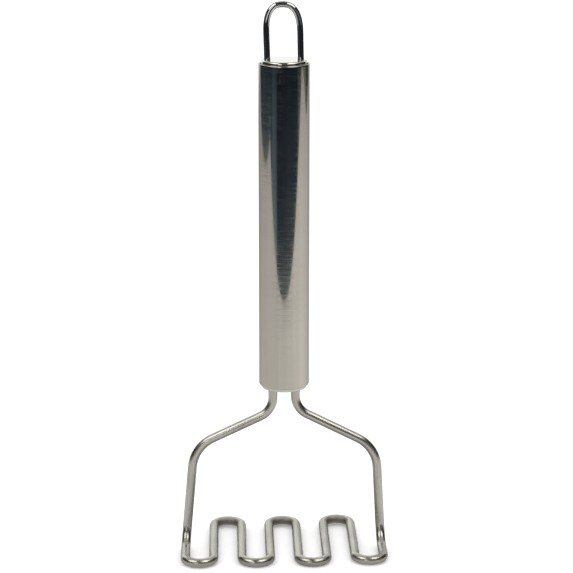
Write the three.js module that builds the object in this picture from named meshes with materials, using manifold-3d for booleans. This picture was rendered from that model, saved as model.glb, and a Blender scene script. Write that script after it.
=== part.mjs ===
// A wire potato masher: a tubular steel handle with a drawn cap pressed into each end, a wire loop
// to hang it by, and one continuous wire bent into two legs and a flat serpentine mashing head.
//
// Millimetres, +Z up, +X to the right, and -Y to the front, where four of the head's bends point.
// The origin is on the table, straight below the handle's axis.

import * as THREE from 'three';
import { mergeVertices } from 'three/addons/utils/BufferGeometryUtils.js';
import Module from 'manifold-3d';

const wasm = await Module();
wasm.setup();

// ---- driving dimensions -------------------------------------------------------------------------

const FIT_GAP = 0.3; // clearance left between pieces that touch or are welded

const TUBE_DIAMETER = 22;
const TUBE_WALL = 0.8;
const TUBE_LENGTH = 142;
const TUBE_BASE = 76.5; // height of the tube's lower rim above the table
const TUBE_EDGE_ROUND = 0.35;

const CAP_SHEET = 0.6;
const CAP_DEPTH = 9; // from the cap's outer face to the end of its skirt
const CAP_PROUD = 1.5; // how far the cap's outer face stands out of the tube
const CAP_EDGE_ROUND = 0.6;

const HEAD_WIRE = 4;
const HEAD_RUN_PITCH = 12.5; // between neighbouring runs of the serpentine
const HEAD_RUNS = 8; // the two outermost ones come down from the legs
const HEAD_HALF_DEPTH = 25.3; // from the legs' plane to the wire's centre in an end bend
const LEG_BEND_RADIUS = 9.5; // where a leg turns forward onto the table
const SHOULDER_X = 40.3;
const SHOULDER_Z = 46.9;
const SHOULDER_RADIUS = 16;
const NECK_X = 4.95;
const NECK_Z = 63.5;
const NECK_RADIUS = 9.7;
const NECK_INSIDE = 14; // how far the wire goes on into the handle above the cap's face

const LOOP_WIRE = 2.5;
const LOOP_FOOT_X = 7.15; // half the distance between the loop's feet in the cap
const LOOP_HALF_WIDTH = 7.4;
const LOOP_ARCH_HEIGHT = 9.4;
const LOOP_HEIGHT = 23.8; // from the cap's outer face to the wire's centre at the top

const LEG_WELD_WIDTH = 1.3;
const LEG_WELD_HEIGHT = 1.4;
const LOOP_WELD_RADIUS = 1.8;
const LOOP_WELD_HEIGHT = 1.1;

// ---- fineness of the faceted solids -------------------------------------------------------------

const ROUND_SEGMENTS = 64;
const HOLE_SEGMENTS = 32;
const EDGE_STEPS = 4;
const HEAD_WIRE_SIDES = 16;
const LOOP_WIRE_SIDES = 12;
const BEND_STEP = THREE.MathUtils.degToRad(12);
const ARCH_STEPS = 24;

// ---- derived dimensions -------------------------------------------------------------------------

const TUBE_TOP = TUBE_BASE + TUBE_LENGTH;
const TUBE_BORE_RADIUS = TUBE_DIAMETER / 2 - TUBE_WALL;
const CAP_RADIUS = TUBE_BORE_RADIUS - FIT_GAP;
const TOP_FACE = TUBE_TOP + CAP_PROUD;
const BOTTOM_FACE = TUBE_BASE - CAP_PROUD;
const OUTER_RUN_X = (HEAD_RUNS - 1) * HEAD_RUN_PITCH / 2;
const WIRE_Z = HEAD_WIRE / 2;

// ---- materials ----------------------------------------------------------------------------------

const SATIN_STEEL = { color: 0xaaa69c, roughness: 0.35, metalness: 1 };
const POLISHED_STEEL = { color: 0xb4b4b0, roughness: 0.15, metalness: 1 };
const WELD_STEEL = { color: 0x8d8a84, roughness: 0.5, metalness: 1 };

// ---- helpers ------------------------------------------------------------------------------------

/** Corners of a regular polygon whose flats, not its corners, lie at the wire's true radius. */
function wireSection(diameter, sides) {
  const cornerRadius = diameter / 2 / Math.cos(Math.PI / sides);
  const corners = [];
  for (let i = 0; i < sides; i++) {
    const angle = (i + 0.5) * 2 * Math.PI / sides;
    corners.push(new THREE.Vector2(Math.cos(angle), Math.sin(angle)).multiplyScalar(cornerRadius));
  }
  return new THREE.Shape(corners);
}

/** A hole that a wire passes through with the usual clearance. */
function wireHoleRadius(diameter, sides) {
  return diameter / 2 / Math.cos(Math.PI / sides) + FIT_GAP;
}

/**
 * A wire's centreline as a list of stations, each a point and a direction. A bend has many, and a
 * straight stretch only its two ends. One flat of the section faces `up` at the middle station and
 * is carried along from there without twisting.
 */
class WireRoute extends THREE.Curve {
  constructor(stations, up) {
    super();
    this.stations = stations;
    this.up = up;
    this.steps = stations.length - 1;
  }

  getPoint(t, target = new THREE.Vector3()) {
    const place = t * this.steps;
    const index = Math.min(Math.floor(place), this.steps - 1);
    const from = this.stations[index].point;
    const to = this.stations[index + 1].point;
    return target.lerpVectors(from, to, place - index);
  }

  getSpacedPoints() {
    return this.stations.map((station) => station.point.clone());
  }

  computeFrenetFrames() {
    const tangents = this.stations.map((station) => station.direction);
    const middle = Math.round(this.steps / 2);
    const binormals = [];
    binormals[middle] = this.up.clone();
    for (let i = middle + 1; i <= this.steps; i++) {
      binormals[i] = carried(binormals[i - 1], tangents[i - 1], tangents[i]);
    }
    for (let i = middle - 1; i >= 0; i--) {
      binormals[i] = carried(binormals[i + 1], tangents[i + 1], tangents[i]);
    }
    const normals = binormals.map((up, i) => up.clone().cross(tangents[i]).normalize());
    return { tangents, normals, binormals };
  }
}

/** The vector turned by the same turn that takes one direction to the next. */
function carried(vector, from, to) {
  const turn = new THREE.Quaternion().setFromUnitVectors(from, to);
  return vector.clone().applyQuaternion(turn);
}

/** The round stations of a bend of the given radius at a corner between two directions. */
function bendStations(corner, radius, arriving, leaving) {
  const angle = arriving.angleTo(leaving);
  const axis = arriving.clone().cross(leaving).normalize();
  const start = corner.clone().addScaledVector(arriving, -radius * Math.tan(angle / 2));
  const inward = axis.clone().cross(arriving);
  const centre = start.clone().addScaledVector(inward, radius);
  const steps = Math.ceil(angle / BEND_STEP);
  const stations = [];
  for (let i = 0; i <= steps; i++) {
    const turn = angle * i / steps;
    const spoke = inward.clone().applyAxisAngle(axis, turn).multiplyScalar(-radius);
    const direction = arriving.clone().applyAxisAngle(axis, turn);
    stations.push({ point: centre.clone().add(spoke), direction });
  }
  return stations;
}

/** Stations of straight stretches joined by round bends, one bend at each inner corner. */
function bentStations(corners) {
  const last = corners.length - 1;
  const headings = [];
  for (let i = 0; i < last; i++) {
    headings.push(corners[i + 1].point.clone().sub(corners[i].point).normalize());
  }
  const stations = [{ point: corners[0].point, direction: headings[0] }];
  for (let i = 1; i < last; i++) {
    const bend = bendStations(corners[i].point, corners[i].radius, headings[i - 1], headings[i]);
    const touching = bend[0].point.distanceTo(stations.at(-1).point) < FIT_GAP / 10;
    stations.push(...(touching ? bend.slice(1) : bend));
  }
  stations.push({ point: corners[last].point, direction: headings[last - 1] });
  return stations;
}

/** A closed solid of a wire's section along its route. */
function wireGeometry(diameter, sides, route) {
  const section = wireSection(diameter, sides);
  return new THREE.ExtrudeGeometry(section, { steps: route.steps, extrudePath: route });
}

/** Points of a quarter-round edge about a centre, from one angle to another. */
function edgeRound(x, z, radius, fromDegrees, toDegrees) {
  const points = [];
  for (let i = 0; i <= EDGE_STEPS; i++) {
    const degrees = THREE.MathUtils.lerp(fromDegrees, toDegrees, i / EDGE_STEPS);
    const angle = THREE.MathUtils.degToRad(degrees);
    points.push(new THREE.Vector2(x + radius * Math.cos(angle), z + radius * Math.sin(angle)));
  }
  return points;
}

/** A solid of revolution about Z; the profile's points are (distance from the axis, height). */
function turned(profile, segments = ROUND_SEGMENTS) {
  return new THREE.LatheGeometry(profile, segments).rotateX(Math.PI / 2);
}

/** A manifold-3d solid of a closed geometry. */
function toSolid(geometry) {
  const bare = geometry.clone();
  bare.deleteAttribute('normal');
  bare.deleteAttribute('uv');
  const merged = mergeVertices(bare, 1e-5);
  const index = merged.index.array;
  const kept = [];
  for (let i = 0; i < index.length; i += 3) {
    const [a, b, c] = index.subarray(i, i + 3);
    if (a !== b && b !== c && c !== a) {
      kept.push(a, b, c);
    }
  }
  return new wasm.Manifold(new wasm.Mesh({
    numProp: 3,
    vertProperties: new Float32Array(merged.attributes.position.array),
    triVerts: new Uint32Array(kept),
  }));
}

/** A three.js geometry of a manifold-3d solid. */
function toGeometry(solid) {
  const mesh = solid.getMesh();
  const geometry = new THREE.BufferGeometry();
  geometry.setAttribute('position', new THREE.BufferAttribute(mesh.vertProperties, 3));
  geometry.setIndex(new THREE.BufferAttribute(mesh.triVerts, 1));
  geometry.computeVertexNormals();
  return geometry;
}

/** The geometry with a vertical hole through it at each x, on the plane of symmetry. */
function drilled(geometry, holes, radius) {
  let solid = toSolid(geometry);
  for (const x of holes) {
    const drill = new THREE.CylinderGeometry(radius, radius, CAP_DEPTH, HOLE_SEGMENTS);
    drill.rotateX(Math.PI / 2).translate(x, 0, 0);
    solid = solid.subtract(toSolid(drill));
  }
  return toGeometry(solid);
}

function namedMesh(name, geometry, finish) {
  const mesh = new THREE.Mesh(geometry, new THREE.MeshStandardMaterial(finish));
  mesh.name = name;
  return mesh;
}

// ---- the handle ---------------------------------------------------------------------------------

/** The open tube, its four rim edges rounded. */
function handleTube() {
  const outer = TUBE_DIAMETER / 2 - TUBE_EDGE_ROUND;
  const inner = TUBE_BORE_RADIUS + TUBE_EDGE_ROUND;
  const low = TUBE_EDGE_ROUND;
  const high = TUBE_LENGTH - TUBE_EDGE_ROUND;
  const profile = [
    ...edgeRound(outer, low, TUBE_EDGE_ROUND, -90, 0),
    ...edgeRound(outer, high, TUBE_EDGE_ROUND, 0, 90),
    ...edgeRound(inner, high, TUBE_EDGE_ROUND, 90, 180),
    ...edgeRound(inner, low, TUBE_EDGE_ROUND, 180, 270),
  ];
  profile.push(profile[0].clone());
  const tube = namedMesh('handle_tube', turned(profile), SATIN_STEEL);
  tube.position.z = TUBE_BASE;
  return tube;
}

/** A drawn cup, its outer face up at z = 0 and its skirt hanging below, with two wire holes. */
function capGeometry(holeX, holeRadius) {
  const innerRound = CAP_EDGE_ROUND / 3;
  const cupWall = CAP_RADIUS - CAP_SHEET;
  const profile = [
    new THREE.Vector2(0, -CAP_SHEET),
    ...edgeRound(cupWall - innerRound, -CAP_SHEET - innerRound, innerRound, 90, 0),
    new THREE.Vector2(cupWall, -CAP_DEPTH),
    new THREE.Vector2(CAP_RADIUS, -CAP_DEPTH),
    ...edgeRound(CAP_RADIUS - CAP_EDGE_ROUND, -CAP_EDGE_ROUND, CAP_EDGE_ROUND, 0, 90),
    new THREE.Vector2(0, 0),
  ];
  return drilled(turned(profile), [-holeX, holeX], holeRadius);
}

function topCap() {
  const holeRadius = wireHoleRadius(LOOP_WIRE, LOOP_WIRE_SIDES);
  const cap = namedMesh('top_cap', capGeometry(LOOP_FOOT_X, holeRadius), POLISHED_STEEL);
  cap.position.z = TOP_FACE;
  return cap;
}

function bottomCap() {
  const holeRadius = wireHoleRadius(HEAD_WIRE, HEAD_WIRE_SIDES);
  const cap = namedMesh('bottom_cap', capGeometry(NECK_X, holeRadius), SATIN_STEEL);
  cap.rotation.x = Math.PI;
  cap.position.z = BOTTOM_FACE;
  return cap;
}

// ---- the hanging loop ---------------------------------------------------------------------------

/** Two legs, a little wider at the top than at the cap, and a half-elliptical arch. */
function hangingLoop() {
  const archBase = TOP_FACE + LOOP_HEIGHT - LOOP_ARCH_HEIGHT;
  const footZ = TOP_FACE - CAP_SHEET;
  const rise = new THREE.Vector3(LOOP_FOOT_X - LOOP_HALF_WIDTH, 0, archBase - footZ).normalize();
  const fall = new THREE.Vector3(rise.x, 0, -rise.z);
  const stations = [{ point: new THREE.Vector3(-LOOP_FOOT_X, 0, footZ), direction: rise }];
  for (let i = 0; i <= ARCH_STEPS; i++) {
    const angle = Math.PI * i / ARCH_STEPS;
    const across = LOOP_HALF_WIDTH * Math.cos(angle);
    const up = LOOP_ARCH_HEIGHT * Math.sin(angle);
    const turn = [LOOP_HALF_WIDTH * Math.sin(angle), LOOP_ARCH_HEIGHT * Math.cos(angle)];
    stations.push({
      point: new THREE.Vector3(-across, 0, archBase + up),
      direction: new THREE.Vector3(turn[0], 0, turn[1]).normalize(),
    });
  }
  stations.push({ point: new THREE.Vector3(LOOP_FOOT_X, 0, footZ), direction: fall });
  const route = new WireRoute(stations, new THREE.Vector3(0, 1, 0));
  return namedMesh('hanging_loop', wireGeometry(LOOP_WIRE, LOOP_WIRE_SIDES, route), POLISHED_STEEL);
}

// ---- the mashing wire ---------------------------------------------------------------------------

/** The corners of one leg from inside the handle down to the table, on the side of `sign`. */
function legCorners(sign) {
  const corner = (x, z, radius) => ({ point: new THREE.Vector3(sign * x, 0, z), radius });
  return [
    corner(NECK_X, BOTTOM_FACE + NECK_INSIDE, 0),
    corner(NECK_X, NECK_Z, NECK_RADIUS),
    corner(SHOULDER_X, SHOULDER_Z, SHOULDER_RADIUS),
    corner(OUTER_RUN_X, WIRE_Z, LEG_BEND_RADIUS),
  ];
}

/** The corners of the end bends, in turn at the front and at the back, from left to right. */
function serpentineCorners() {
  const corners = [];
  for (let bend = 0; bend < HEAD_RUNS - 1; bend++) {
    const y = bend % 2 === 0 ? -HEAD_HALF_DEPTH : HEAD_HALF_DEPTH;
    for (const side of [0, 1]) {
      const x = (bend + side) * HEAD_RUN_PITCH - OUTER_RUN_X;
      corners.push({ point: new THREE.Vector3(x, y, WIRE_Z), radius: HEAD_RUN_PITCH / 2 });
    }
  }
  return corners;
}

/** One wire: down the left leg, through the serpentine and up the right leg. */
function masherWire() {
  const corners = [...legCorners(-1), ...serpentineCorners(), ...legCorners(1).reverse()];
  const route = new WireRoute(bentStations(corners), new THREE.Vector3(0, 0, 1));
  return namedMesh('masher_wire', wireGeometry(HEAD_WIRE, HEAD_WIRE_SIDES, route), SATIN_STEEL);
}

// ---- the welds inside the handle ----------------------------------------------------------------

/** A ring of weld metal round a leg of the mashing wire, on the bottom cap's inner face. */
function legWeld(name, sign) {
  const bore = wireHoleRadius(HEAD_WIRE, HEAD_WIRE_SIDES);
  const profile = [
    new THREE.Vector2(bore, 0),
    new THREE.Vector2(bore + LEG_WELD_WIDTH, 0),
    new THREE.Vector2(bore + LEG_WELD_WIDTH * 0.7, LEG_WELD_HEIGHT * 0.7),
    new THREE.Vector2(bore, LEG_WELD_HEIGHT),
    new THREE.Vector2(bore, 0),
  ];
  const weld = namedMesh(name, turned(profile, HOLE_SEGMENTS), WELD_STEEL);
  weld.position.set(sign * NECK_X, 0, BOTTOM_FACE + CAP_SHEET + FIT_GAP);
  return weld;
}

/** A dome of weld metal under a foot of the hanging loop, on the top cap's inner face. */
function loopWeld(name, sign) {
  const profile = [];
  for (let i = 0; i <= 2 * EDGE_STEPS; i++) {
    const angle = Math.PI / 2 * (i / (2 * EDGE_STEPS) - 1);
    const x = LOOP_WELD_RADIUS * Math.cos(angle);
    profile.push(new THREE.Vector2(x, LOOP_WELD_HEIGHT * Math.sin(angle)));
  }
  profile[0].x = 0;
  profile.push(new THREE.Vector2(0, 0));
  const weld = namedMesh(name, turned(profile, HOLE_SEGMENTS), WELD_STEEL);
  weld.position.set(sign * LOOP_FOOT_X, 0, TOP_FACE - CAP_SHEET - FIT_GAP);
  return weld;
}

// ---- the assembly -------------------------------------------------------------------------------

const masher = new THREE.Group();
masher.add(
  handleTube(),
  topCap(),
  bottomCap(),
  hangingLoop(),
  masherWire(),
  legWeld('leg_weld_left', -1),
  legWeld('leg_weld_right', 1),
  loopWeld('loop_weld_left', -1),
  loopWeld('loop_weld_right', 1),
);

export default masher;
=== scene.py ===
"""The looks of the wire potato masher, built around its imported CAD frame. Metres, +Z up."""

import math

import bmesh
import bpy
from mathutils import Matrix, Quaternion, Vector


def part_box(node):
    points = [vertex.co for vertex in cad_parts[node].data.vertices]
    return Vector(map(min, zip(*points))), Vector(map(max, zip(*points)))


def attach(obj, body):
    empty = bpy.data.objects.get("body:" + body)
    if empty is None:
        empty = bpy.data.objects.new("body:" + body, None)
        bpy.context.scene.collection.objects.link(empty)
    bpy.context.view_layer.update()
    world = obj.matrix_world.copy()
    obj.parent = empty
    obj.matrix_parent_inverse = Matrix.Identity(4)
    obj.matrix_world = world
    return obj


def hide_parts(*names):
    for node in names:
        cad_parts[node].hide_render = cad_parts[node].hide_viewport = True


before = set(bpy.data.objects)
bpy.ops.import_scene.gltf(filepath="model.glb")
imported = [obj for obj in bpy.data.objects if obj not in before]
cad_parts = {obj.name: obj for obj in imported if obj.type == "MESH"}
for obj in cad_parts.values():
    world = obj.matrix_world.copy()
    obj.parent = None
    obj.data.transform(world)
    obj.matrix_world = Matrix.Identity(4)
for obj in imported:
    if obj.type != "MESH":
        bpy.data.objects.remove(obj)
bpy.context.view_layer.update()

MM = 0.001

# ---- sizes, from the frame ----------------------------------------------------------------------

TUBE_LOW, TUBE_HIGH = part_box("handle_tube")
TOP_CAP_LOW, TOP_CAP_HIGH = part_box("top_cap")
BOTTOM_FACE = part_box("bottom_cap")[0].z
LOOP_LOW, LOOP_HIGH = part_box("hanging_loop")
WIRE_LOW, WIRE_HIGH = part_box("masher_wire")

TUBE_RADIUS = (TUBE_HIGH.x - TUBE_LOW.x) / 2
CAP_RADIUS = (TOP_CAP_HIGH.x - TOP_CAP_LOW.x) / 2
TOP_FACE = TOP_CAP_HIGH.z
CAP_DEPTH = TOP_CAP_HIGH.z - TOP_CAP_LOW.z
LOOP_RADIUS = (LOOP_HIGH.y - LOOP_LOW.y) / 2

# ---- sizes that the boxes don't give, as in the CAD ---------------------------------------------

TUBE_WALL = 0.8 * MM
CAP_SHEET = 0.6 * MM
LOOP_FOOT_X = 7.15 * MM

HEAD_WIRE_RADIUS = 2 * MM
HEAD_RUNS = 8
LEG_BEND_RADIUS = 9.5 * MM
SHOULDER_X = 40.3 * MM
SHOULDER_Z = 46.9 * MM
SHOULDER_RADIUS = 16 * MM
NECK_X = 4.95 * MM
NECK_Z = 63.5 * MM
NECK_RADIUS = 9.7 * MM

# ---- how far the real, hand-bent wires stray from that ------------------------------------------

# The head sits a little to the left, is a little deeper at the back and rises there. Its last back
# bend reaches further than the others, and its last front bend, at the right leg, less far.

HEAD_SHIFT = -0.32 * MM
HEAD_RISE = 0.5 * MM
BACK_BENDS_FURTHER = 0.6 * MM
LAST_BACK_BEND_FURTHER = 1.6 * MM
LAST_FRONT_BEND_SHORTER = 1.6 * MM

# The two legs aren't mirror images: the right neck bend is higher and the right shoulder wider.

LEFT_SLOPE_RAISED = 0.3 * MM
LEFT_SHOULDER_OUT = -0.3 * MM
RIGHT_SHOULDER_OUT = 0.65 * MM
RIGHT_SHOULDER_RAISED = -0.4 * MM
RIGHT_NECK_RAISED = 1.2 * MM

# The loop leans to the left, is a little lower and thicker, and its arch is fuller than half an
# ellipse, which would be an arch power of 2.

LOOP_LEAN = -0.65 * MM
LOOP_LOWER = 0.3 * MM
LOOP_WIRE_RADIUS = 1.08 * LOOP_RADIUS
LOOP_HALF_WIDTH = 7.22 * MM
LOOP_ARCH_HEIGHT = 12.2 * MM
LOOP_ARCH_POWER = 2.5

# ---- the edges' roundings -----------------------------------------------------------------------

TOP_CAP_EDGE = 0.95 * MM
BOTTOM_CAP_EDGE = 0.35 * MM
TOP_RIM_EDGE = 0.42 * MM
TOP_BORE_EDGE = 0.3 * MM
BOTTOM_RIM_EDGE = 0.45 * MM
BOTTOM_BORE_EDGE = BOTTOM_RIM_EDGE / 2

# ---- the head's layout --------------------------------------------------------------------------

HEAD_BENDS = HEAD_RUNS - 1
OUTER_RUN_X = WIRE_HIGH.x - HEAD_WIRE_RADIUS
RUN_PITCH = 2 * OUTER_RUN_X / HEAD_BENDS
HEAD_HALF_DEPTH = WIRE_HIGH.y - HEAD_WIRE_RADIUS
WIRE_Z = WIRE_LOW.z + HEAD_WIRE_RADIUS

# ---- fineness of the meshes ---------------------------------------------------------------------

TUBE_SEGMENTS = 160
HOLE_SEGMENTS = 48
EDGE_STEPS = 6

# How close to a rounded edge the ring lies that keeps the face beside it looking flat.

SUPPORT = 0.1 * MM

WIRE_SIDES = 32
BEND_STEP = math.radians(4)
STRAIGHT_STEP = 2.5 * MM
ARCH_STEPS = 60

# Edges sharper than this stay crisp, and points closer than these count as on the axis or the same.

SHARP_ANGLE = math.radians(40)
ON_AXIS = 1e-7
SAME_PLACE = 1e-6

# A bend of this radius or less is a tight one. It counts as level less and less as the wire rises, and
# no longer once the rise of its heading and that of its turning add up to one in this many.

FULL_BEND_RADIUS = 8 * MM
LEVEL_FADE = 4


# ---- the camera ---------------------------------------------------------------------------------

def make_camera():
    """The photograph's viewpoint: about 0.9 m away, above the handle and slightly from the left."""
    distance = 0.904
    height = 0.351
    pitch = math.radians(14.31)
    turn = math.radians(1.5)
    aim = math.radians(0.067)
    data = bpy.data.cameras.new("camera")
    data.lens = 134.3
    data.sensor_width = 36
    camera = bpy.data.objects.new("camera", data)
    camera.location = (-distance * math.sin(turn), -distance * math.cos(turn), height)
    camera.rotation_euler = (math.pi / 2 - pitch, 0, -(turn + aim))
    bpy.context.scene.collection.objects.link(camera)
    bpy.context.scene.camera = camera


# ---- mesh helpers -------------------------------------------------------------------------------

def new_piece(name, bm, material):
    """A smooth-shaded object of a bmesh, with its faces turned outwards."""
    bmesh.ops.recalc_face_normals(bm, faces=bm.faces)
    mesh = bpy.data.meshes.new(name)
    bm.to_mesh(mesh)
    bm.free()
    mesh.shade_smooth()
    mesh.materials.append(material)
    piece = bpy.data.objects.new(name, mesh)
    bpy.context.scene.collection.objects.link(piece)
    return piece


def edge_round(x, z, radius, from_degrees, to_degrees):
    """Points of a rounded edge about a centre, as (distance from the axis, height)."""
    points = []
    for i in range(EDGE_STEPS + 1):
        angle = math.radians(from_degrees + (to_degrees - from_degrees) * i / EDGE_STEPS)
        points.append((x + radius * math.cos(angle), z + radius * math.sin(angle)))
    return points


def turned(profile, closed=False):
    """A bmesh turned about Z from a profile of (distance from the axis, height); points on the axis
    become poles, and a closed profile joins its last ring to its first."""
    bm = bmesh.new()
    rings = []
    for radius, z in profile:
        if radius < ON_AXIS:
            rings.append([bm.verts.new((0, 0, z))])
            continue
        ring = []
        for k in range(TUBE_SEGMENTS):
            angle = 2 * math.pi * k / TUBE_SEGMENTS
            ring.append(bm.verts.new((radius * math.cos(angle), radius * math.sin(angle), z)))
        rings.append(ring)
    pairs = list(zip(rings, rings[1:]))
    if closed:
        pairs.append((rings[-1], rings[0]))
    for low, high in pairs:
        for k in range(TUBE_SEGMENTS):
            corners = [low[k % len(low)], low[(k + 1) % len(low)]]
            corners += [high[(k + 1) % len(high)], high[k % len(high)]]
            bm.faces.new(list(dict.fromkeys(corners)))
    return bm


def drilled(piece, holes, radius):
    """Cuts a vertical round hole through the piece at each x and keeps the result as its mesh."""
    cutters = []
    for x in holes:
        bm = bmesh.new()
        bmesh.ops.create_cone(bm, cap_ends=True, segments=HOLE_SEGMENTS, radius1=radius,
                              radius2=radius, depth=1)
        mesh = bpy.data.meshes.new("cutter")
        bm.to_mesh(mesh)
        bm.free()
        cutter = bpy.data.objects.new("cutter", mesh)
        cutter.location.x = x
        bpy.context.scene.collection.objects.link(cutter)
        cut = piece.modifiers.new("hole", "BOOLEAN")
        cut.operation = "DIFFERENCE"
        cut.solver = "EXACT"
        cut.object = cutter
        cutters.append(cutter)
    evaluated = piece.evaluated_get(bpy.context.evaluated_depsgraph_get())
    mesh = bpy.data.meshes.new_from_object(evaluated)
    piece.modifiers.clear()
    piece.data = mesh
    for cutter in cutters:
        bpy.data.objects.remove(cutter)


def keep_edges_crisp(piece):
    """Stops the smooth shading at the piece's sharp edges."""
    piece.data.set_sharp_from_angle(angle=SHARP_ANGLE)


# ---- wire helpers -------------------------------------------------------------------------------

def straight_stations(start, end):
    """Evenly spaced stations from start to end, both included, each a (point, direction)."""
    length = (end - start).length
    heading = (end - start).normalized()
    steps = max(1, math.ceil(length / STRAIGHT_STEP))
    return [(start.lerp(end, i / steps), heading) for i in range(steps + 1)]


def bend_stations(corner, radius, arriving, leaving):
    """Stations of a round bend at a corner between two directions."""
    angle = arriving.angle(leaving)
    axis = arriving.cross(leaving).normalized()
    start = corner - arriving * radius * math.tan(angle / 2)
    inward = axis.cross(arriving)
    centre = start + inward * radius
    steps = math.ceil(angle / BEND_STEP)
    stations = []
    for i in range(steps + 1):
        turn = Quaternion(axis, angle * i / steps)
        stations.append((centre - (turn @ inward) * radius, turn @ arriving))
    return stations


def bent_stations(corners):
    """Stations of straight stretches joined by bends; a corner is a (point, bend radius)."""
    points = [point for point, _ in corners]
    headings = [(b - a).normalized() for a, b in zip(points, points[1:])]
    stations = [(points[0], headings[0])]
    for i in range(1, len(corners) - 1):
        bend = bend_stations(points[i], corners[i][1], headings[i - 1], headings[i])
        stations += straight_stations(stations[-1][0], bend[0][0])[1:]
        stations += bend[1:]
    stations += straight_stations(stations[-1][0], points[-1])[1:]
    return without_repeats(stations)


def without_repeats(stations):
    """The stations with any that lies on the one before it left out."""
    kept = [stations[0]]
    for station in stations[1:]:
        if (station[0] - kept[-1][0]).length > SAME_PLACE:
            kept.append(station)
    return kept


def level_bends(stations, spread=3):
    """How the wire bends at each station, in the level of the table. Each is a vector towards the
    bend's inside, 0 long where the wire is straight or bends upright, 1 long in the tighter bends
    and averaged over the stations next to it, which gives the bends soft ends."""
    turns = [Vector() for _ in range(spread)]
    for before, after in zip(stations, stations[1:]):
        length = (after[0] - before[0]).length
        turns.append((after[1] - before[1]) / length * FULL_BEND_RADIUS)
    turns += [Vector() for _ in range(spread + 1)]
    directions = []
    for i in range(len(stations)):
        window = turns[i:i + 2 * spread]
        mean = sum(window, Vector()) / len(window)
        level = max(0, 1 - LEVEL_FADE * (abs(stations[i][1].z) + abs(mean.z)))
        directions.append(mean * level / max(1, mean.length))
    return directions


def swept_wire(stations, radius, side):
    """A closed round wire along the stations. Its path attribute holds the length along the wire
    and the place in the section, so that a material can draw its grain lengthwise, and its inside
    attribute is 1 on the inner side of a tight, level bend."""
    bm = bmesh.new()
    path = bm.verts.layers.float_vector.new("path")
    inside = bm.verts.layers.float.new("inside")
    bends = level_bends(stations)
    rings = []
    travelled = 0
    for i, (point, heading) in enumerate(stations):
        if i:
            turn = stations[i - 1][1].rotation_difference(heading)
            side = turn @ side
            travelled += (point - stations[i - 1][0]).length
        other = heading.cross(side)
        ring = []
        for k in range(WIRE_SIDES):
            angle = 2 * math.pi * k / WIRE_SIDES
            across, up = radius * math.cos(angle), radius * math.sin(angle)
            offset = side * across + other * up
            vert = bm.verts.new(point + offset)
            vert[path] = (travelled, across, up)
            vert[inside] = max(0, offset.dot(bends[i]) / radius)
            ring.append(vert)
        rings.append(ring)
    for low, high in zip(rings, rings[1:]):
        for k in range(WIRE_SIDES):
            after = (k + 1) % WIRE_SIDES
            bm.faces.new((low[k], low[after], high[after], high[k]))
    bm.faces.new(rings[0])
    bm.faces.new(rings[-1])
    return bm


# ---- material helpers ---------------------------------------------------------------------------

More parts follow.
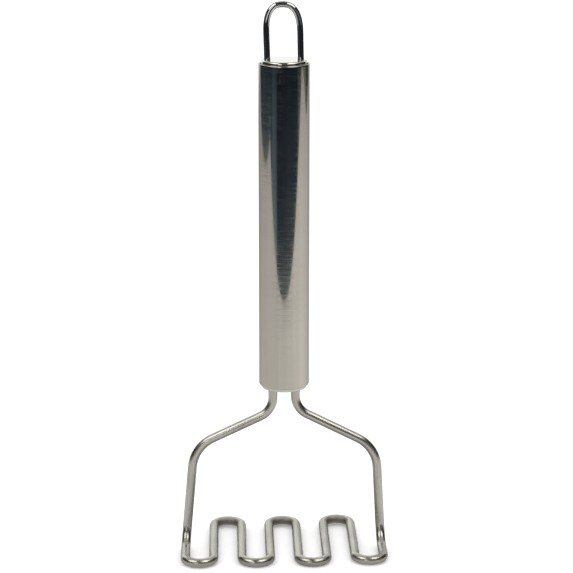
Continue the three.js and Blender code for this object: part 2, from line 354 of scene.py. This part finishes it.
class Steel:
    """A stainless steel material whose colour, roughness and bump come from its own nodes. Its noise
    is laid out in the object's space, or along the wire where the space is "path"."""

    def __init__(self, name, space):
        self.material = bpy.data.materials.new(name)
        self.material.use_nodes = True
        self.tree = self.material.node_tree
        self.shader = self.tree.nodes["Principled BSDF"]
        self.shader.inputs["Metallic"].default_value = 1
        if space == "path":
            node = self.node("ShaderNodeAttribute")
            node.attribute_name = "path"
            self.place = node.outputs["Vector"]
        else:
            self.place = self.node("ShaderNodeTexCoord").outputs["Object"]

    def node(self, kind, **inputs):
        """A new node, with constant values on the inputs that are named."""
        made = self.tree.nodes.new(kind)
        for name, value in inputs.items():
            made.inputs[name].default_value = value
        return made

    def link(self, output, socket):
        """Joins one node's output to another's input."""
        self.tree.links.new(output, socket)

    def set(self, socket, output):
        """Gives the shader's socket the value of a node's output."""
        self.link(output, self.shader.inputs[socket])

    def noise(self, stretch, detail=2.0, roughness=0.5):
        """Noise whose grain has this many waves per metre along each axis."""
        mapping = self.node("ShaderNodeMapping", Scale=stretch)
        self.link(self.place, mapping.inputs["Vector"])
        noise = self.node("ShaderNodeTexNoise", Scale=1.0, Detail=detail, Roughness=roughness)
        self.link(mapping.outputs["Vector"], noise.inputs["Vector"])
        return noise.outputs["Fac"]

    def attribute(self, name, stops):
        """A mesh attribute carried through a colour ramp."""
        node = self.node("ShaderNodeAttribute")
        node.attribute_name = name
        return self.ramp(node.outputs["Fac"], stops)

    def ramp(self, value, stops):
        """The value carried through a colour ramp; each stop is (place, grey or colour)."""
        ramp = self.node("ShaderNodeValToRGB")
        elements = ramp.color_ramp.elements
        while len(elements) < len(stops):
            elements.new(0.5)
        for element, (place, colour) in zip(elements, stops):
            grey = isinstance(colour, (int, float))
            element.position = place
            element.color = (colour, colour, colour, 1) if grey else (*colour, 1)
        self.link(value, ramp.inputs["Fac"])
        return ramp.outputs["Color"]

    def of_two(self, operation, a, b):
        """The result of a maths node on two values."""
        node = self.node("ShaderNodeMath")
        node.operation = operation
        self.link(a, node.inputs[0])
        self.link(b, node.inputs[1])
        return node.outputs[0]

    def maximum(self, a, b):
        """The larger of two values."""
        return self.of_two("MAXIMUM", a, b)

    def add(self, a, b):
        """The sum of two values."""
        return self.of_two("ADD", a, b)

    def average(self, a, b):
        """Half of each of two values."""
        node = self.node("ShaderNodeMix")
        self.link(a, node.inputs["A"])
        self.link(b, node.inputs["B"])
        return node.outputs["Result"]

    def darkened(self, colour, mask, dark):
        """The colour, going over to a dark one where the mask is 1."""
        # The mix node's colour sockets come after those for numbers and vectors.
        colour_a, colour_b, colour_result = 6, 7, 2
        node = self.node("ShaderNodeMix")
        node.data_type = "RGBA"
        self.link(mask, node.inputs["Factor"])
        self.link(colour, node.inputs[colour_a])
        node.inputs[colour_b].default_value = (*dark, 1)
        return node.outputs[colour_result]

    def dim_edges(self, grey):
        """Tints the glancing reflection, as a polished but not perfect metal does."""
        self.shader.inputs["Specular Tint"].default_value = (grey, grey, grey, 1)

    def bump(self, height, distance):
        """Raises the surface by this distance, in metres, where the height is 1."""
        node = self.node("ShaderNodeBump", Strength=1.0, Distance=distance)
        self.link(height, node.inputs["Height"])
        self.set("Normal", node.outputs["Normal"])


def handle_steel():
    """Bright steel with fine lines brushed round the tube, faint streaks along it and smudges."""
    steel = Steel("handle_steel", "object")
    lines = steel.noise((120, 120, 2900), detail=3)
    scratches = steel.noise((110, 110, 3600), detail=2, roughness=0.6)
    streaks = steel.noise((380, 380, 7), detail=3)
    smudges = steel.noise((60, 60, 35), detail=3)
    stain = steel.average(streaks, smudges)
    tint = [(0.38, (0.555, 0.54, 0.485)), (0.62, (0.625, 0.585, 0.535))]
    steel.set("Base Color", steel.ramp(stain, tint))
    fine = steel.ramp(lines, [(0.45, 0.03), (0.75, 0.08)])
    deep = steel.ramp(scratches, [(0.4, 0.0), (0.56, 0.13), (0.8, 0.2)])
    steel.set("Roughness", steel.maximum(fine, deep))
    steel.bump(lines, 0.0002 * MM)
    steel.dim_edges(0.62)
    return steel.material


def cap_steel():
    """The caps' plain sheet, faintly marked and stained by the press."""
    steel = Steel("cap_steel", "object")
    marks = steel.noise((900, 900, 900), detail=4)
    stains = steel.noise((140, 140, 140), detail=3)
    tint = [(0.3, (0.655, 0.645, 0.61)), (0.7, (0.715, 0.705, 0.67))]
    steel.set("Base Color", steel.ramp(stains, tint))
    steel.set("Roughness", steel.ramp(marks, [(0.3, 0.05), (0.8, 0.14)]))
    steel.bump(marks, 0.001 * MM)
    return steel.material


def wire_steel():
    """Tumbled satin wire, with faint lines drawn along it and dull inside the tight bends, where
    tumbling doesn't reach; painted shade darkens its colour there too."""
    steel = Steel("wire_steel", "path")
    drawn = steel.noise((70, 1700, 1700), detail=2)
    tumbled = steel.noise((600, 900, 900), detail=2)
    stains = steel.average(steel.noise((60, 120, 120), detail=3), drawn)
    tint = [(0.38, (0.50, 0.495, 0.445)), (0.62, (0.655, 0.645, 0.585))]
    bright = steel.ramp(stains, tint)
    # Painted shade: the colour goes dark on the inner side of the tight, level bends.
    painted_bend_shade = steel.attribute("inside", [(0.4, 0.0), (0.95, 1.0)])
    steel.set("Base Color", steel.darkened(bright, painted_bend_shade, (0.30, 0.285, 0.25)))
    satin = steel.ramp(steel.maximum(drawn, tumbled), [(0.35, 0.22), (0.8, 0.32)])
    dull = steel.attribute("inside", [(0.05, 0.0), (0.4, 0.55)])
    steel.set("Roughness", steel.maximum(satin, dull))
    steel.bump(steel.add(drawn, tumbled), 0.0018 * MM)
    steel.dim_edges(0.62)
    return steel.material


def loop_steel():
    """Mirror-polished wire, with a few lines left by drawing."""
    steel = Steel("loop_steel", "path")
    drawn = steel.noise((60, 2600, 2600), detail=2)
    stains = steel.noise((90, 150, 150), detail=3)
    tint = [(0.3, (0.58, 0.58, 0.57)), (0.7, (0.66, 0.66, 0.65))]
    steel.set("Base Color", steel.ramp(stains, tint))
    steel.set("Roughness", steel.ramp(drawn, [(0.4, 0.03), (0.8, 0.1)]))
    steel.bump(drawn, 0.002 * MM)
    steel.dim_edges(0.25)
    return steel.material


def weld_steel():
    """Weld metal left as it set: dull, rippled and a little blued by the heat."""
    steel = Steel("weld_steel", "object")
    ripples = steel.noise((1400, 1400, 3000), detail=3)
    heat = steel.noise((500, 500, 500), detail=2)
    tint = [(0.35, (0.30, 0.29, 0.33)), (0.65, (0.48, 0.44, 0.38))]
    steel.set("Base Color", steel.ramp(heat, tint))
    steel.set("Roughness", steel.ramp(ripples, [(0.3, 0.35), (0.7, 0.6)]))
    steel.bump(ripples, 0.05 * MM)
    return steel.material


# ---- the pieces ---------------------------------------------------------------------------------

def make_tube(material):
    """The handle's tube, its rims rolled slightly round."""
    inner = TUBE_RADIUS - TUBE_WALL
    top, bottom = TUBE_HIGH.z, TUBE_LOW.z
    top_rim = edge_round(TUBE_RADIUS - TOP_RIM_EDGE, top - TOP_RIM_EDGE, TOP_RIM_EDGE, 0, 90)
    top_bore = edge_round(inner + TOP_BORE_EDGE, top - TOP_BORE_EDGE, TOP_BORE_EDGE, 90, 180)
    bottom_rim = edge_round(TUBE_RADIUS - BOTTOM_RIM_EDGE, bottom + BOTTOM_RIM_EDGE,
                            BOTTOM_RIM_EDGE, -90, 0)
    bottom_bore = edge_round(inner + BOTTOM_BORE_EDGE, bottom + BOTTOM_BORE_EDGE,
                             BOTTOM_BORE_EDGE, 180, 270)
    profile = [
        *bottom_rim,
        (TUBE_RADIUS, bottom + BOTTOM_RIM_EDGE + SUPPORT),
        (TUBE_RADIUS, top - TOP_RIM_EDGE - SUPPORT),
        *top_rim,
        *top_bore,
        (inner, top - TOP_BORE_EDGE - SUPPORT),
        (inner, bottom + BOTTOM_BORE_EDGE + SUPPORT),
        *bottom_bore,
    ]
    tube = new_piece("handle_tube_body", turned(profile, closed=True), material)
    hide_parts("handle_tube")
    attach(tube, "root")


def make_cap(name, node, outer_z, inward, edge, hole_x, wire_radius, material):
    """A drawn cup, drilled for its two wires. Its outer face is at outer_z, and inward is +1 or -1,
    the way its skirt runs from there."""
    inner_bend = 0.25 * MM
    hole_gap = 0.06 * MM
    wall = CAP_RADIUS - CAP_SHEET
    outline = [
        (0, 0),
        (CAP_RADIUS - edge - SUPPORT, 0),
        *edge_round(CAP_RADIUS - edge, edge, edge, -90, 0),
        (CAP_RADIUS, edge + SUPPORT),
        (CAP_RADIUS, CAP_DEPTH),
        (wall, CAP_DEPTH),
        *edge_round(wall - inner_bend, CAP_SHEET + inner_bend, inner_bend, 0, -90),
        (0, CAP_SHEET),
    ]
    profile = [(radius, outer_z + inward * depth) for radius, depth in outline]
    cap = new_piece(name, turned(profile), material)
    drilled(cap, (-hole_x, hole_x), wire_radius + hole_gap)
    keep_edges_crisp(cap)
    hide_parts(node)
    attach(cap, "root")


def leaning(point, heading):
    """A station of the loop, moved sideways the more, the further it is above the cap."""
    above = point.z - TOP_FACE
    if above <= 0:
        return point, heading
    rate = LOOP_LEAN / (LOOP_HIGH.z - TOP_FACE)
    moved = point + Vector((rate * above, 0, 0))
    tilted = heading + Vector((rate * heading.z, 0, 0))
    return moved, tilted.normalized()


def arch_points():
    """The loop's arch from left to right: a super-ellipse, so a little fuller than half an ellipse."""
    foot_z = LOOP_HIGH.z - LOOP_LOWER - LOOP_WIRE_RADIUS - LOOP_ARCH_HEIGHT
    power = 2 / LOOP_ARCH_POWER
    points = []
    for i in range(ARCH_STEPS + 1):
        angle = math.pi * i / ARCH_STEPS
        across = math.copysign(abs(math.cos(angle)) ** power, math.cos(angle))
        up = abs(math.sin(angle)) ** power
        points.append(Vector((-LOOP_HALF_WIDTH * across, 0, foot_z + LOOP_ARCH_HEIGHT * up)))
    return points


def make_loop(material):
    """The hanging loop: two legs and an arch."""
    points = arch_points()
    left_foot = Vector((-LOOP_FOOT_X, 0, LOOP_LOW.z))
    right_foot = Vector((LOOP_FOOT_X, 0, LOOP_LOW.z))
    left_leg = straight_stations(left_foot, points[0])[:-1]
    right_leg = straight_stations(points[-1], right_foot)[1:]
    before = [left_leg[-1][0]] + points[:-1]
    after = points[1:] + [right_leg[0][0]]
    arch = [(point, (b - a).normalized()) for point, a, b in zip(points, before, after)]
    stations = [leaning(*station) for station in left_leg + arch + right_leg]
    wire = swept_wire(stations, LOOP_WIRE_RADIUS, Vector((0, 1, 0)))
    loop = new_piece("hanging_loop_wire", wire, material)
    keep_edges_crisp(loop)
    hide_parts("hanging_loop")
    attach(loop, "root")


def head_point(x, y):
    """A point on the wire's centre line in the mashing head."""
    rise = HEAD_RISE * (y + HEAD_HALF_DEPTH) / (2 * HEAD_HALF_DEPTH)
    return Vector((x + HEAD_SHIFT, y, WIRE_Z + rise))


def leg_corners(sign, neck_raised, shoulder_out, shoulder_raised):
    """A leg's corners, each with its bend radius, from inside the handle down to the table. The sign
    is -1 for the left leg and +1 for the right one."""
    end = Vector((sign * NECK_X, 0, WIRE_HIGH.z))
    neck = Vector((sign * NECK_X, 0, NECK_Z + neck_raised))
    shoulder = Vector((sign * (SHOULDER_X + shoulder_out), 0, SHOULDER_Z + shoulder_raised))
    foot = head_point(sign * OUTER_RUN_X, 0)
    return [(end, 0), (neck, NECK_RADIUS), (shoulder, SHOULDER_RADIUS), (foot, LEG_BEND_RADIUS)]


def bend_y(bend):
    """How far back or forward an end bend lies; even ones are at the front, from the left leg on."""
    if bend == HEAD_BENDS - 1:
        return LAST_FRONT_BEND_SHORTER - HEAD_HALF_DEPTH
    if bend == HEAD_BENDS - 2:
        return HEAD_HALF_DEPTH + LAST_BACK_BEND_FURTHER
    return HEAD_HALF_DEPTH + BACK_BENDS_FURTHER if bend % 2 else -HEAD_HALF_DEPTH


def serpentine_corners():
    """The corners of the head's end bends, in turn at the front and at the back."""
    corners = []
    for bend in range(HEAD_BENDS):
        for side in (0, 1):
            x = (bend + side) * RUN_PITCH - OUTER_RUN_X
            corners.append((head_point(x, bend_y(bend)), RUN_PITCH / 2))
    return corners


def make_masher_wire(material):
    """The one wire that makes both legs and the whole mashing head, from the left neck round to the
    right one."""
    left_leg = leg_corners(-1, LEFT_SLOPE_RAISED, LEFT_SHOULDER_OUT, LEFT_SLOPE_RAISED)
    right_leg = leg_corners(1, RIGHT_NECK_RAISED, RIGHT_SHOULDER_OUT, RIGHT_SHOULDER_RAISED)
    corners = left_leg + serpentine_corners() + right_leg[::-1]
    stations = bent_stations(corners)
    wire = swept_wire(stations, HEAD_WIRE_RADIUS, Vector((0, 1, 0)))
    masher = new_piece("masher_wire_body", wire, material)
    keep_edges_crisp(masher)
    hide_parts("masher_wire")
    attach(masher, "root")


# ---- the setting --------------------------------------------------------------------------------

PAPER = (1.0, 0.985, 0.95)
FAR_AWAY = 4.0

# The cards that lie on the floor are a little under each other, so that the steel sees one at a time.

SHADE_Z = -0.3 * MM
SHEET_Z = -0.5 * MM
ROOM_Z = -1 * MM


def glow_material(name, stops, centre, reach):
    """Light whose colour follows the distance from a centre, out to the reach; a stop is (metres
    away, colour)."""
    material = bpy.data.materials.new(name)
    material.use_nodes = True
    tree = material.node_tree
    tree.nodes.clear()
    place = tree.nodes.new("ShaderNodeTexCoord")
    mapping = tree.nodes.new("ShaderNodeMapping")
    mapping.inputs["Scale"].default_value = (1 / reach, 1 / reach, 1 / reach)
    mapping.inputs["Location"].default_value = [-value / reach for value in centre]
    gradient = tree.nodes.new("ShaderNodeTexGradient")
    gradient.gradient_type = "SPHERICAL"
    ramp = tree.nodes.new("ShaderNodeValToRGB")
    elements = ramp.color_ramp.elements
    while len(elements) < len(stops):
        elements.new(0.5)
    peak = max(max(colour) for _, colour in stops)
    for element, (away, colour) in zip(elements, sorted(stops, reverse=True)):
        element.position = 1 - away / reach
        element.color = (*[value / peak for value in colour], 1)
    glow = tree.nodes.new("ShaderNodeEmission")
    glow.inputs["Strength"].default_value = peak
    output = tree.nodes.new("ShaderNodeOutputMaterial")
    tree.links.new(place.outputs["Object"], mapping.inputs["Vector"])
    tree.links.new(mapping.outputs["Vector"], gradient.inputs["Vector"])
    tree.links.new(gradient.outputs["Fac"], ramp.inputs["Fac"])
    tree.links.new(ramp.outputs["Color"], glow.inputs["Color"])
    tree.links.new(glow.outputs[0], output.inputs[0])
    return material


def tinted(colour, strength):
    """The colour at another strength."""
    return tuple(value * strength for value in colour)


def even(colour):
    """The stops of a card that has one colour all over."""
    return [(0, colour), (FAR_AWAY, colour)]


def reflected_card(name, corners, stops, centre=(0, 0, 0), reach=FAR_AWAY):
    """A studio card that only shows as a reflection in the steel."""
    mesh = bpy.data.meshes.new(name)
    mesh.from_pydata(corners, [], [tuple(range(len(corners)))])
    mesh.materials.append(glow_material(name, stops, centre, reach))
    card = bpy.data.objects.new(name, mesh)
    bpy.context.scene.collection.objects.link(card)
    card.visible_camera = False
    card.visible_diffuse = False
    card.visible_shadow = False


def level_card(name, x, y, z, colour):
    """A card that lies level at a height; x and y are its (least, greatest)."""
    corners = [(x[0], y[0], z), (x[1], y[0], z), (x[1], y[1], z), (x[0], y[1], z)]
    reflected_card(name, corners, even(colour))


def upright_card(name, start, end, z, colour):
    """A card that stands on the line from start to end; z is its (lowest, highest)."""
    corners = [(*start, z[0]), (*end, z[0]), (*end, z[1]), (*start, z[1])]
    reflected_card(name, corners, even(colour))


def make_floor():
    """A plain white floor. The steel doesn't reflect it, but the cards that lie on it."""
    half_size = 6
    bm = bmesh.new()
    bmesh.ops.create_grid(bm, x_segments=1, y_segments=1, size=half_size)
    material = bpy.data.materials.new("floor_white")
    material.use_nodes = True
    shader = material.node_tree.nodes["Principled BSDF"]
    shader.inputs["Base Color"].default_value = (0.92, 0.92, 0.92, 1)
    shader.inputs["Roughness"].default_value = 0.9
    shader.inputs["Specular IOR Level"].default_value = 0
    floor = new_piece("floor", bm, material)
    floor.visible_glossy = False


def make_world():
    """White all round for the eye and the floor, and a dark room for the steel."""
    world = bpy.data.worlds.new("studio")
    world.use_nodes = True
    bpy.context.scene.world = world
    tree = world.node_tree
    tree.nodes.clear()
    paths = tree.nodes.new("ShaderNodeLightPath")
    white = tree.nodes.new("ShaderNodeBackground")
    white.inputs["Color"].default_value = (1, 1, 1, 1)
    white.inputs["Strength"].default_value = 1.38
    dark = tree.nodes.new("ShaderNodeBackground")
    dark.inputs["Color"].default_value = (0.024, 0.025, 0.024, 1)
    mix = tree.nodes.new("ShaderNodeMixShader")
    output = tree.nodes.new("ShaderNodeOutputWorld")
    tree.links.new(paths.outputs["Is Glossy Ray"], mix.inputs["Fac"])
    tree.links.new(white.outputs[0], mix.inputs[1])
    tree.links.new(dark.outputs[0], mix.inputs[2])
    tree.links.new(mix.outputs[0], output.inputs["Surface"])


def make_sheet():
    """The sheet of paper that the masher stands on, with a curved front edge, from which its outline
    starts. It is dimmer away from the lamp on its right."""
    outline = [
        (-0.95, -0.41), (-0.5, -0.43), (-0.2, -0.45), (0, -0.459), (0.3, -0.455), (0.6, -0.43),
        (0.85, -0.39), (1.15, -0.29), (1.5, -0.1), (1.42, 0.12), (1.0, 0.6), (0.95, 1.2),
        (-1.15, 1.2), (-0.89, 0.6),
    ]
    corners = [(x, y, SHEET_Z) for x, y in outline]
    stops = [(0, tinted(PAPER, 0.84)), (0.6, tinted(PAPER, 0.65)), (1.3, tinted(PAPER, 0.46))]
    reflected_card("sheet_card", corners, stops, centre=(0.3, 0, 0), reach=2.0)


def make_shade():
    """The part of the sheet that the head shades, darkest in the middle."""
    half_x, half_y = 0.09, 0.07
    outline = [(-half_x, -half_y), (half_x, -half_y), (half_x, half_y), (-half_x, half_y)]
    corners = [(x, y, SHADE_Z) for x, y in outline]
    stops = [(0, tinted(PAPER, 0.34)), (0.03, tinted(PAPER, 0.40)), (0.09, tinted(PAPER, 0.72))]
    reflected_card("shade_card", corners, stops, reach=0.12)


def make_room():
    """The dim room round the sheet, in sectors of its floor as seen from the masher. A sector is
    (from, to, how light), in degrees from the front towards the right, and the light fades with the
    distance in metres until, far away, it is the same in every sector."""
    sectors = [
        (-140, -95, (3.4, 3.0, 2.4)),
        (-95, -57, (2.4, 2.3, 2.0)),
        (-57, -40, (4.6, 4.3, 3.7)),
        (-40, -33, (2.9, 2.9, 2.7)),
        (-33, -8, (0.85, 0.85, 0.85)),
        (-8, 12, (1.1, 1.1, 1.1)),
        (12, 28, (1.4, 1.3, 1.2)),
        (28, 62, (1.2, 1.35, 1.25)),
        (62, 80, (6.0, 4.2, 2.8)),
        (80, 112, (16.0, 11.0, 5.5)),
        (112, 140, (6.5, 4.2, 2.4)),
    ]
    fade = [
        (0.47, (0.085, 0.112, 0.118)),
        (0.63, (0.036, 0.051, 0.062)),
        (0.86, (0.021, 0.030, 0.045)),
        (1.42, (0.0085, 0.0145, 0.0225)),
    ]
    far = (1.6, (0.018, 0.020, 0.020))
    radius = 3.0
    for i, (start, end, lightness) in enumerate(sectors):
        corners = [(0, 0, ROOM_Z)]
        for degrees in (start, end):
            angle = math.radians(degrees)
            corners.append((radius * math.sin(angle), -radius * math.cos(angle), ROOM_Z))
        stops = [far]
        for away, glow in fade:
            stops.append((away, tuple(a * b for a, b in zip(glow, lightness))))
        reflected_card(f"room_floor_{i}", corners, stops, reach=radius)


def make_backdrop():
    """The pale wall behind the masher, brighter on the left and at its top left."""
    y = 1.2
    split = 0.22
    lower = (0, 0.9)
    upper = (0.9, 1.4)
    upright_card("backdrop_left", (-1.2, y), (split, y), lower, (1.11, 1.13, 1.12))
    upright_card("backdrop_right", (split, y), (1.2, y), lower, (0.78, 0.79, 0.77))
    upright_card("backdrop_top_left", (-1.2, y), (0, y), upper, tinted(PAPER, 1.25))
    upright_card("backdrop_top_right", (0, y), (1.2, y), upper, tinted(PAPER, 0.7))


def make_ceiling():
    """The dim ceiling over the back half of the sheet, lower at its sides."""
    level_card("ceiling", (-0.35, 0.35), (0.0, 1.2), 1.3, tinted(PAPER, 0.65))
    level_card("ceiling_left", (-1.3, -0.35), (-0.05, 1.2), 1.1, tinted(PAPER, 0.5))
    level_card("ceiling_right", (0.35, 1.2), (-0.05, 1.2), 1.1, tinted(PAPER, 0.5))


def make_lamps():
    """Two softboxes over the front half of the sheet with a dark gap between them, and an upright
    lamp at the front left, before the room's dim wall."""
    bright = (2.0, 2.0, 1.95)
    level_card("softbox_left", (-1.3, -0.32), (-0.95, -0.05), 0.95, bright)
    level_card("softbox_right", (0.2, 0.95), (-0.95, -0.05), 0.95, bright)
    upright_card("front_lamp", (-0.95, -1.6), (-0.4, -1.6), (0.12, 0.9), (1.5, 1.5, 1.5))
    upright_card("room_wall", (-3.5, -2.0), (3.5, -2.0), (0.1, 1.2), (0.14, 0.14, 0.145))


def dress_welds(material):
    """Gives the CAD's own welds their material."""
    for name in ("leg_weld_left", "leg_weld_right", "loop_weld_left", "loop_weld_right"):
        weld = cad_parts[name]
        weld.data.materials.clear()
        weld.data.materials.append(material)


make_camera()
make_tube(handle_steel())
caps = cap_steel()
make_cap("top_cap_cup", "top_cap", TOP_FACE, -1, TOP_CAP_EDGE, LOOP_FOOT_X, LOOP_WIRE_RADIUS, caps)
make_cap("bottom_cap_cup", "bottom_cap", BOTTOM_FACE, 1, BOTTOM_CAP_EDGE, NECK_X,
         HEAD_WIRE_RADIUS, caps)
make_loop(loop_steel())
make_masher_wire(wire_steel())
dress_welds(weld_steel())

make_floor()
make_world()
make_sheet()
make_shade()
make_room()
make_backdrop()
make_ceiling()
make_lamps()
bpy.context.scene.view_settings.view_transform = "Standard"
